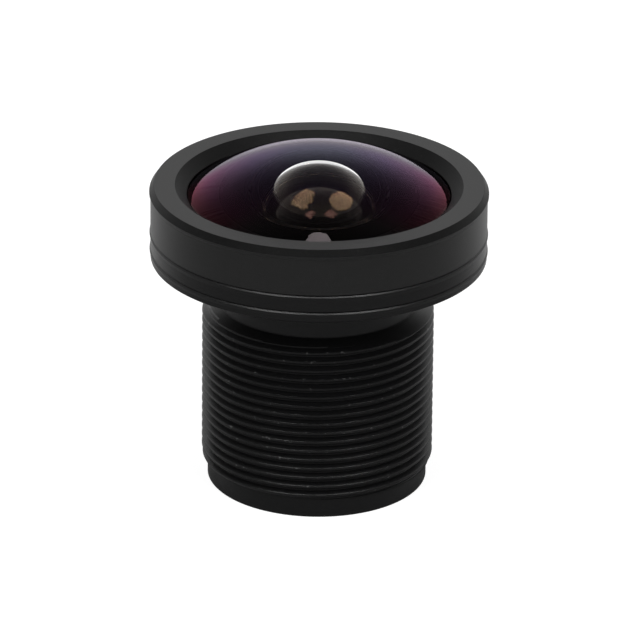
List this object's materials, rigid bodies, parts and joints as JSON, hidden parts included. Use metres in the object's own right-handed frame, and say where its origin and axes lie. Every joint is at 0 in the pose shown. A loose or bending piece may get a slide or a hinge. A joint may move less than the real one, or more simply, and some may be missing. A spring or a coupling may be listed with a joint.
{
  "type": "wide-angle board camera lens",
  "caption": "Threaded wide-angle board camera lens: black turned barrel with a stepped head, screwed cap ring, domed front glass and a sealed stack of inner glasses.",
  "frame": {"origin": "centre of the rear end's lowest plane, on the optical axis", "axes": "+Z along the optical axis, from the rear end towards the domed front glass; the part is round, so +X and +Y are free"},
  "size_m": [0.0174, 0.0174, 0.0179],
  "materials": {
    "barrel_black": "satin black anodised, turned",
    "ring_black": "fine bead-blasted black anodised",
    "spacer_black": "matt black anodised",
    "baffle_film": "matt black polyester film",
    "stop_foil": "matt black foil",
    "seal_rubber": "smooth black rubber",
    "front_glass": "polished, coated lilac and plum",
    "second_glass": "polished, coated amber",
    "inner_glass": "polished, coated green-blue",
    "filter_glass": "polished infrared cut filter, reddish sheen"
  },
  "bodies": {
    "root": {"barrel": "barrel_black", "front_retaining_ring": "ring_black", "front_seal_ring": "seal_rubber", "front_element": "front_glass", "first_spacer": "spacer_black", "second_element": "second_glass", "first_baffle": "baffle_film", "second_spacer": "spacer_black", "third_element": "inner_glass", "third_spacer": "spacer_black", "fourth_element": "inner_glass", "aperture_stop": "stop_foil", "fourth_spacer": "spacer_black", "fifth_element": "inner_glass", "sixth_element": "inner_glass", "second_baffle": "baffle_film", "fifth_spacer": "spacer_black", "seventh_element": "inner_glass", "rear_retaining_ring": "ring_black", "infrared_filter": "filter_glass"}
  },
  "joints": []
}
